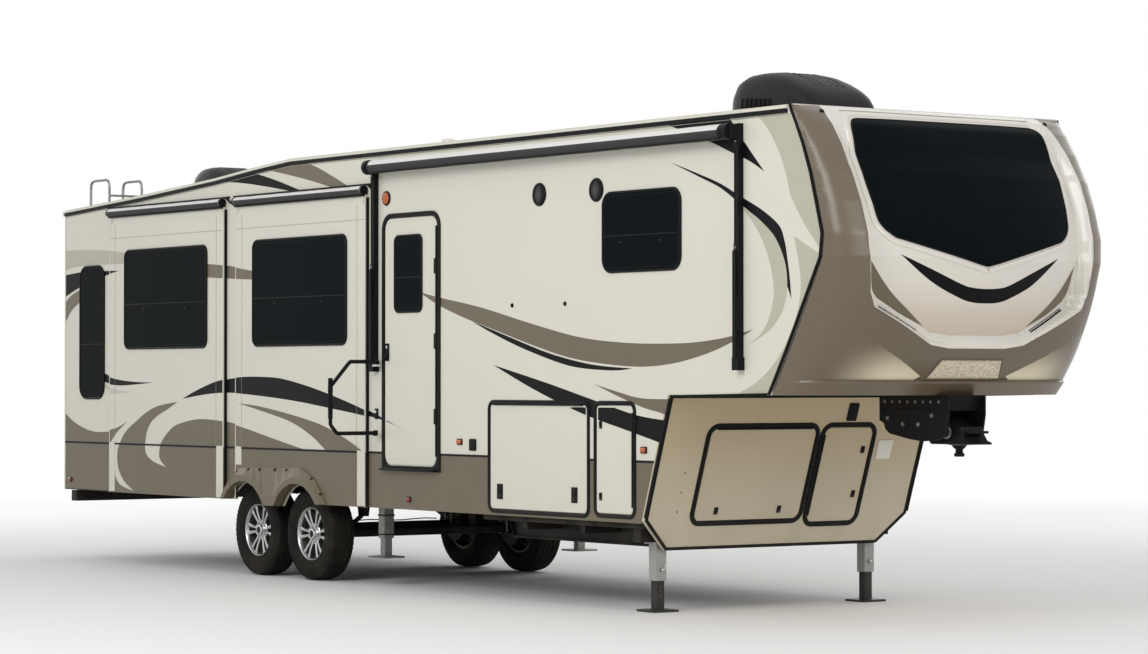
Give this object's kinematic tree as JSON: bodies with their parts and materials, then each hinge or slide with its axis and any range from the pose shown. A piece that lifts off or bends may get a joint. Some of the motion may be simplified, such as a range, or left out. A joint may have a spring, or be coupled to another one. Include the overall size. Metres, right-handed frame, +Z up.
{
  "type": "fifth wheel trailer",
  "caption": "Long fifth wheel travel trailer with a raised front deck, moulded cap, slide-out rooms, side awning, tandem wheels and landing legs.",
  "frame": {"origin": "on the ground under the middle of the trailer's box", "axes": "+X forward to the hitch, +Y to the street side, +Z up; the entry door is on -Y"},
  "size_m": [11.611, 3.004, 3.9103],
  "materials": {
    "wall_cream": "gel-coat fibreglass",
    "panel_taupe": "painted fibreglass door skins",
    "cap_white": "automotive gloss",
    "nose_tan": "gloss",
    "roof_membrane": "matt membrane",
    "floor_wood": "plain plywood",
    "black_trim": "satin",
    "chassis_black": "semi-gloss paint",
    "leg_steel": "zinc plated",
    "rim_alloy": "machined",
    "ladder_alloy": "satin",
    "tyre": "matt",
    "dark_glass": "tinted",
    "cover_charcoal": "grained",
    "awning_white": "rolled vinyl cloth"
  },
  "bodies": {
    "trailer": {"air_conditioner_front": "cover_charcoal", "air_conditioner_rear": "cover_charcoal", "awning_arm_front": "black_trim", "awning_arm_rear": "black_trim", "awning_roller": "awning_white", "axle_1": "chassis_black", "axle_2": "chassis_black", "bedroom_window": "dark_glass", "cap_window": "dark_glass", "chassis_frame": "chassis_black", "curb_side_wall": "wall_cream", "deck_floor": "floor_wood", "front_cap": "cap_white", "king_pin": "chassis_black", "landing_leg_curb": "leg_steel", "landing_leg_street": "leg_steel", "levelling_jack_curb": "leg_steel", "levelling_jack_street": "leg_steel", "main_floor": "floor_wood", "nose_wall": "nose_tan", "pin_box": "chassis_black", "pin_head": "chassis_black", "rear_ladder": "ladder_alloy", "rear_side_window": "dark_glass", "rear_wall": "wall_cream", "rear_window": "dark_glass", "roof": "roof_membrane", "roof_vent_front": "awning_white", "roof_vent_rear": "awning_white", "street_bedroom_window": "dark_glass", "street_kitchen_window": "dark_glass", "street_side_wall": "wall_cream", "suspension_curb": "chassis_black", "suspension_street": "chassis_black"},
    "wheel_curb_1": {"tyre_curb_1": "tyre", "rim_curb_1": "rim_alloy"},
    "wheel_curb_2": {"tyre_curb_2": "tyre", "rim_curb_2": "rim_alloy"},
    "wheel_street_1": {"tyre_street_1": "tyre", "rim_street_1": "rim_alloy"},
    "wheel_street_2": {"tyre_street_2": "tyre", "rim_street_2": "rim_alloy"},
    "entry_door": {"entry_door": "wall_cream", "entry_door_window": "dark_glass"},
    "baggage_door_large": {"baggage_door_large": "panel_taupe"},
    "baggage_door_small": {"baggage_door_small": "panel_taupe"},
    "baggage_door_street": {"baggage_door_street": "panel_taupe"},
    "nose_door_large": {"nose_door_large": "nose_tan"},
    "nose_door_small": {"nose_door_small": "nose_tan"},
    "slide_room_rear": {"slide_room_rear": "wall_cream", "slide_room_rear_window": "dark_glass"},
    "slide_room_middle": {"slide_room_middle": "wall_cream", "slide_room_middle_window": "dark_glass"},
    "slide_room_street": {"slide_room_street": "wall_cream", "slide_room_street_window": "dark_glass"},
    "assist_handle": {"assist_handle": "black_trim"}
  },
  "joints": [
    {"name": "wheel_curb_1_spin", "type": "hinge", "parent": "trailer", "child": "wheel_curb_1", "pos_m": [-2.14757, -0.84104, 0.385], "axis": [0, 1, 0], "continuous": true},
    {"name": "wheel_curb_2_spin", "type": "hinge", "parent": "trailer", "child": "wheel_curb_2", "pos_m": [-1.26257, -0.84104, 0.385], "axis": [0, 1, 0], "continuous": true},
    {"name": "wheel_street_1_spin", "type": "hinge", "parent": "trailer", "child": "wheel_street_1", "pos_m": [-2.14757, 1.24896, 0.385], "axis": [0, 1, 0], "continuous": true},
    {"name": "wheel_street_2_spin", "type": "hinge", "parent": "trailer", "child": "wheel_street_2", "pos_m": [-1.26257, 1.24896, 0.385], "axis": [0, 1, 0], "continuous": true},
    {"name": "entry_door_hinge", "type": "hinge", "parent": "trailer", "child": "entry_door", "pos_m": [0.80495, -1.02504, 1.085], "axis": [0, 0, 1], "range_deg": [0, 160]},
    {"name": "baggage_door_large_hinge", "type": "hinge", "parent": "trailer", "child": "baggage_door_large", "pos_m": [1.60695, -1.02504, 1.483], "axis": [-1, 0, 0], "range_deg": [0, 165]},
    {"name": "baggage_door_small_hinge", "type": "hinge", "parent": "trailer", "child": "baggage_door_small", "pos_m": [3.39995, -1.02504, 0.75], "axis": [0, 0, 1], "range_deg": [0, 165]},
    {"name": "baggage_door_street_hinge", "type": "hinge", "parent": "trailer", "child": "baggage_door_street", "pos_m": [1.60695, 1.43296, 1.483], "axis": [1, 0, 0], "range_deg": [0, 165]},
    {"name": "nose_door_large_hinge", "type": "hinge", "parent": "trailer", "child": "nose_door_large", "pos_m": [3.7714, -0.53604, 1.31504], "axis": [0, -1, 0], "range_deg": [0, 95]},
    {"name": "nose_door_small_hinge", "type": "hinge", "parent": "trailer", "child": "nose_door_small", "pos_m": [3.54589, 0.46096, 0.66704], "axis": [-0.3287, 0, -0.9444], "range_deg": [0, 95]},
    {"name": "slide_room_rear_travel", "type": "slide", "parent": "trailer", "child": "slide_room_rear", "axis": [0, -1, 0], "range_m": [0, 0.8]},
    {"name": "slide_room_middle_travel", "type": "slide", "parent": "trailer", "child": "slide_room_middle", "axis": [0, -1, 0], "range_m": [0, 0.8]},
    {"name": "slide_room_street_travel", "type": "slide", "parent": "trailer", "child": "slide_room_street", "axis": [0, 1, 0], "range_m": [0, 0.8]},
    {"name": "assist_handle_hinge", "type": "hinge", "parent": "trailer", "child": "assist_handle", "pos_m": [-0.02805, -1.06604, 1.24], "axis": [0, 0, 1], "range_deg": [0, 90]}
  ]
}
